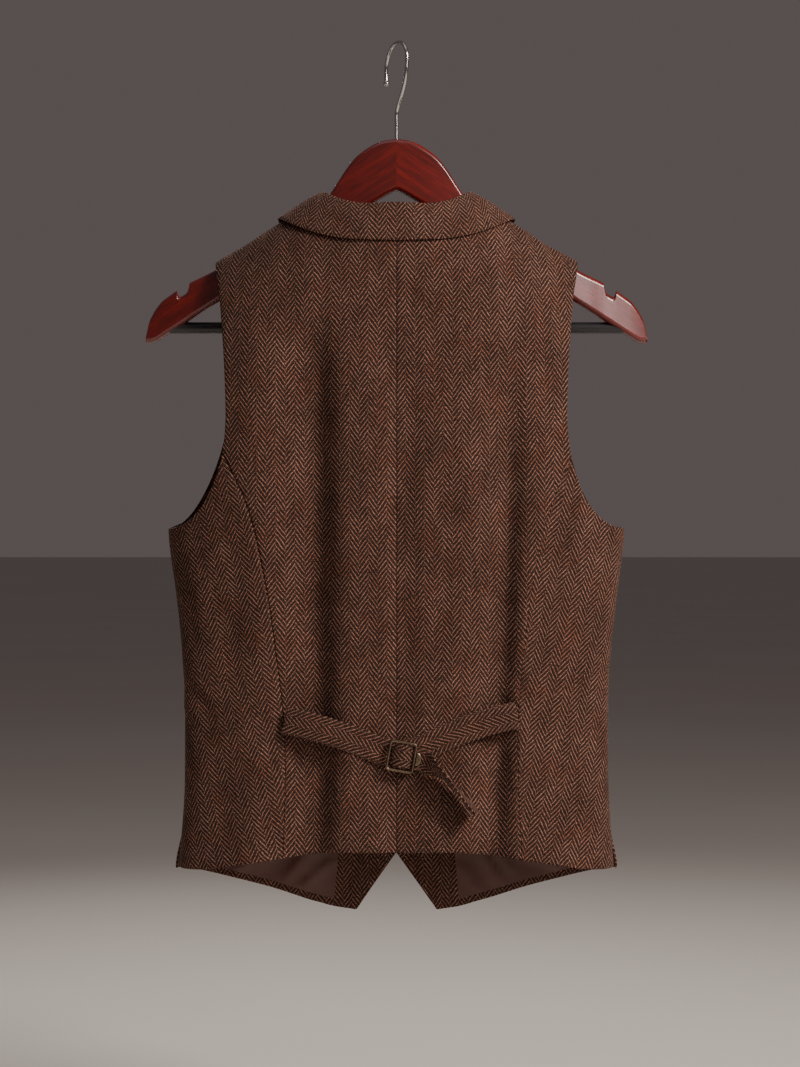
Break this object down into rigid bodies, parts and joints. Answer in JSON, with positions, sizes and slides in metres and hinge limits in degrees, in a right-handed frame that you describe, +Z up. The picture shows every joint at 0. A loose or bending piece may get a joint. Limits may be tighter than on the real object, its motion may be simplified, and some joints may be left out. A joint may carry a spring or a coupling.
{
  "type": "suit waistcoat on a wooden suit hanger",
  "caption": "Herringbone tweed suit waistcoat with a fold-over collar and a buckled back belt, hung on a curved wooden suit hanger with a trouser bar.",
  "frame": {"origin": "underside of the top of the hanger's hook, where it rests on a rail", "axes": "+Z up, +Y towards the back of the waistcoat, +X towards its wearer's left"},
  "size_m": [0.45, 0.1384, 0.7846],
  "materials": {
    "tweed": "brown and rust herringbone wool tweed, matt with a slight nap",
    "satin": "dark brown lining satin, soft sheen",
    "antique_brass": "aged brass, dark in its hollows",
    "horn_button": "dark horn effect, polished",
    "lacquered_wood": "red mahogany stain under clear gloss lacquer",
    "trouser_bar": "black, satin, with a non-slip coat",
    "hook_steel": "polished chrome plating on round wire"
  },
  "bodies": {
    "root": {"back_left": "tweed", "back_right": "tweed", "belt_left": "tweed", "belt_right": "tweed", "belt_tail": "tweed", "buckle_bar": "antique_brass", "buckle_frame": "antique_brass", "buckle_lever": "antique_brass", "button_1": "horn_button", "button_2": "horn_button", "button_3": "horn_button", "button_4": "horn_button", "button_5": "horn_button", "collar": "tweed", "facing_left": "tweed", "facing_right": "tweed", "front_left": "tweed", "front_right": "tweed", "hanger_bar": "trouser_bar", "hanger_hook": "hook_steel", "hanger_wood": "lacquered_wood", "lapel_left": "tweed", "lapel_right": "tweed", "lining_left": "satin", "lining_right": "satin", "side_back_left": "tweed", "side_back_right": "tweed"}
  },
  "joints": []
}
